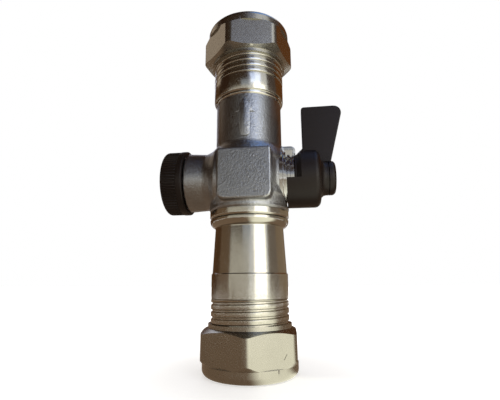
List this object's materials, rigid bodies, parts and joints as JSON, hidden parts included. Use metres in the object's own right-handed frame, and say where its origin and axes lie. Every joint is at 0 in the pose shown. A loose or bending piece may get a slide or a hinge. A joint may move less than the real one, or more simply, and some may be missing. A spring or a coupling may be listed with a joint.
{
  "type": "isolating ball valve",
  "caption": "Quarter-turn isolating ball valve with compression ends, a small black lever on one side and a capped drain port on the other.",
  "frame": {"origin": "middle of the bounding box's bottom, on the plane of the inlet nut's end face; the waterway axis is 1.8 mm to -X of it", "axes": "+Z along the waterway with the flow, from the inlet to the outlet; +X towards the lever; -Y is the front with the pad and the flow arrow"},
  "size_m": [0.0519, 0.028, 0.1013],
  "materials": {
    "nickel_forged": "nickel-plated forged brass, fine grain",
    "nickel_turned": "nickel-plated turned brass, satin with fine rings",
    "brass": "bare turned brass",
    "ball_chrome": "chrome-plated polished brass",
    "steel": "zinc-plated steel",
    "black_plastic": "black moulded plastic, semi-gloss",
    "rubber": "black nitrile rubber",
    "ptfe": "white fluoropolymer"
  },
  "bodies": {
    "body": {"valve_body": "nickel_forged", "inlet_connector": "nickel_turned", "connector_o_ring": "rubber", "inlet_seat": "ptfe", "outlet_seat": "ptfe"},
    "lever": {"handle": "black_plastic", "handle_screw": "steel", "handle_screw_washer": "steel", "handle_button": "black_plastic", "stem": "brass", "stem_thrust_washer": "ptfe", "stem_o_ring_inner": "rubber", "stem_o_ring_outer": "rubber", "ball": "ball_chrome"},
    "inlet_olive": {"inlet_olive": "brass"},
    "inlet_nut": {"inlet_nut": "nickel_turned"},
    "outlet_olive": {"outlet_olive": "brass"},
    "outlet_nut": {"outlet_nut": "nickel_turned"},
    "drain_washer": {"drain_cap_washer": "rubber"},
    "drain_cap": {"drain_cap": "black_plastic"}
  },
  "joints": [
    {"name": "lever_turn", "type": "hinge", "parent": "body", "child": "lever", "pos_m": [0, 0, 0.0524], "axis": [1, 0, 0], "range_deg": [-90, 0]},
    {"name": "inlet_nut_travel", "type": "slide", "parent": "body", "child": "inlet_olive", "axis": [0, 0, -1], "range_m": [0, 0.0064]},
    {"name": "inlet_nut_turn", "type": "hinge", "parent": "inlet_olive", "child": "inlet_nut", "pos_m": [-0.0018, 0, 0.006], "axis": [0, 0, -1], "range_deg": [0, 1260]},
    {"name": "outlet_nut_travel", "type": "slide", "parent": "body", "child": "outlet_olive", "axis": [0, 0, 1], "range_m": [0, 0.0064]},
    {"name": "outlet_nut_turn", "type": "hinge", "parent": "outlet_olive", "child": "outlet_nut", "pos_m": [-0.0018, 0, 0.0953], "axis": [0, 0, 1], "range_deg": [0, 1260]},
    {"name": "drain_cap_travel", "type": "slide", "parent": "body", "child": "drain_washer", "axis": [-1, 0, 0], "range_m": [0, 0.0031]},
    {"name": "drain_cap_turn", "type": "hinge", "parent": "drain_washer", "child": "drain_cap", "pos_m": [-0.022, 0, 0.0524], "axis": [-1, 0, 0], "range_deg": [0, 720]}
  ],
  "couplings": [
    {"joint": "inlet_nut_travel", "follows": "inlet_nut_turn", "m_per_rad": 0.00028871},
    {"joint": "outlet_nut_travel", "follows": "outlet_nut_turn", "m_per_rad": 0.00028871},
    {"joint": "drain_cap_travel", "follows": "drain_cap_turn", "m_per_rad": 0.00023873}
  ]
}
